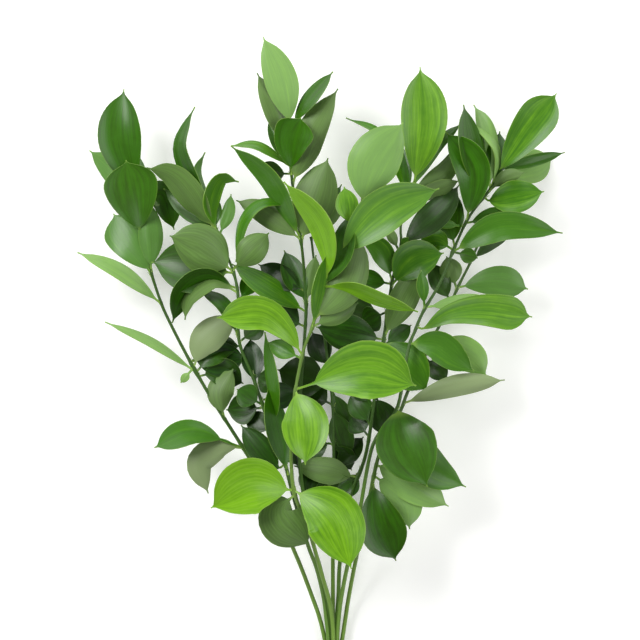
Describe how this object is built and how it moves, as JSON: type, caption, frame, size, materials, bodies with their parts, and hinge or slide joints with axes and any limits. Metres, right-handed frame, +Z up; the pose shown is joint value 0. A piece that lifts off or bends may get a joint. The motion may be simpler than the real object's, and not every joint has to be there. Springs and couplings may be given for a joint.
{
  "type": "israeli ruscus bunch",
  "caption": "Tied bunch of leafy ruscus greenery lying on its side, with fanned stems, pointed glossy leaves and slant-cut ends.",
  "frame": {"origin": "on the table, under the middle of the bunch's outline", "axes": "+Z up; +Y along the bunch, from its cut ends to its leafy tops; +X to the right as seen from above with the tops up"},
  "size_m": [0.418, 0.6012, 0.1191],
  "materials": {
    "foliage_front": "young glossy leaf",
    "foliage_left": "satin leaf",
    "foliage_right": "satin leaf",
    "foliage_back": "dark satin leaf",
    "tie": "matt natural rubber"
  },
  "bodies": {
    "root": {"leafy_stem_far_left": "foliage_left", "leafy_stem_left": "foliage_left", "leafy_stem_centre_back": "foliage_back", "leafy_stem_front": "foliage_front", "leafy_stem_centre": "foliage_back", "leafy_stem_centre_right": "foliage_back", "leafy_stem_right": "foliage_right", "leafy_stem_far_right": "foliage_right", "tie_band": "tie"}
  },
  "joints": []
}
